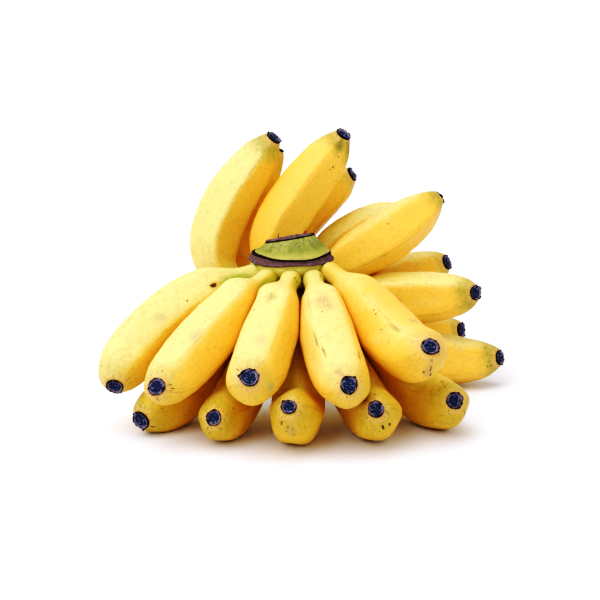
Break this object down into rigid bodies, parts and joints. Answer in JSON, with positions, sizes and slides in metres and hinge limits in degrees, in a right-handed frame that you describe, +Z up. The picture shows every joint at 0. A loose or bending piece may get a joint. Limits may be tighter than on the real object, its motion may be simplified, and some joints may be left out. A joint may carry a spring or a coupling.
{
  "type": "bunch of bananas",
  "caption": "Bunch of small ripe bananas in joined hands, fanned out from a short cut stalk and lying on its lower row of fruit.",
  "frame": {"origin": "bottom centre of the whole bunch's box, on the surface that it lies on", "axes": "+Z up; seen with the cut end of the stalk towards the viewer, +X right and +Y away"},
  "size_m": [0.2364, 0.2221, 0.1557],
  "materials": {
    "peel": "satin, smooth, yellow",
    "stalk": "matt, fibrous, green to brown"
  },
  "bodies": {
    "root": {"front_upper_1": "peel", "front_upper_2": "peel", "front_upper_3": "peel", "front_upper_4": "peel", "front_upper_5": "peel", "front_lower_1": "peel", "front_lower_2": "peel", "front_lower_3": "peel", "front_lower_4": "peel", "front_lower_5": "peel", "back_front_1": "peel", "back_front_2": "peel", "back_front_3": "peel", "back_front_4": "peel", "back_front_5": "peel", "back_rear_1": "peel", "back_rear_2": "peel", "back_rear_3": "peel", "back_rear_4": "peel", "back_rear_5": "peel", "stalk": "stalk"}
  },
  "joints": []
}
